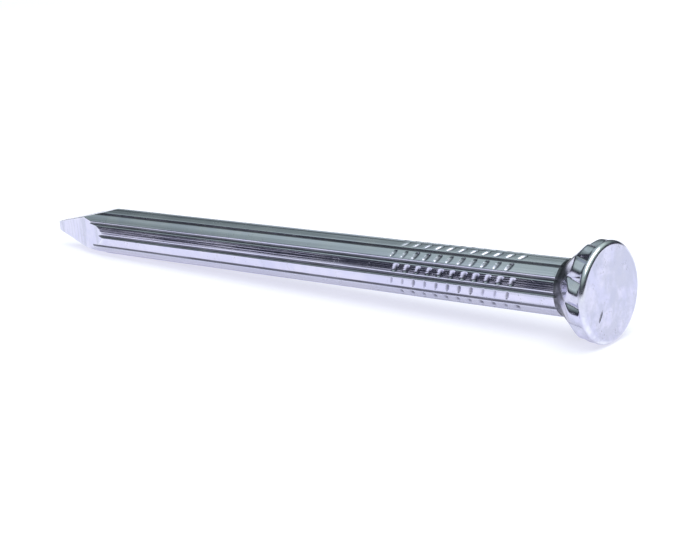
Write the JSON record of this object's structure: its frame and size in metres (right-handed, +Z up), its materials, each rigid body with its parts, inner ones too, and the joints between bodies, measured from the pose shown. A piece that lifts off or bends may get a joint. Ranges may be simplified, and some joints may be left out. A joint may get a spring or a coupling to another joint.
{
  "type": "fluted masonry nail",
  "caption": "Straight fluted masonry nail lying on its side: button head scalloped behind a smooth band, slanting grip marks under the head, four-faced point.",
  "frame": {"origin": "on the surface that the nail lies on, under the middle of its bounding box", "axes": "+X from the point towards the head, along the nail's length; +Z up from the surface; +Y sideways. The nail's own axis climbs about 1.7 degrees from point to head, because the head is wider than the shank"},
  "size_m": [0.05, 0.006, 0.006],
  "materials": {
    "zinc_plated_steel": "bright zinc plating over hardened steel wire, glossy, with a faint drawn grain along the shank"
  },
  "bodies": {
    "root": {"nail": "zinc_plated_steel"}
  },
  "joints": []
}
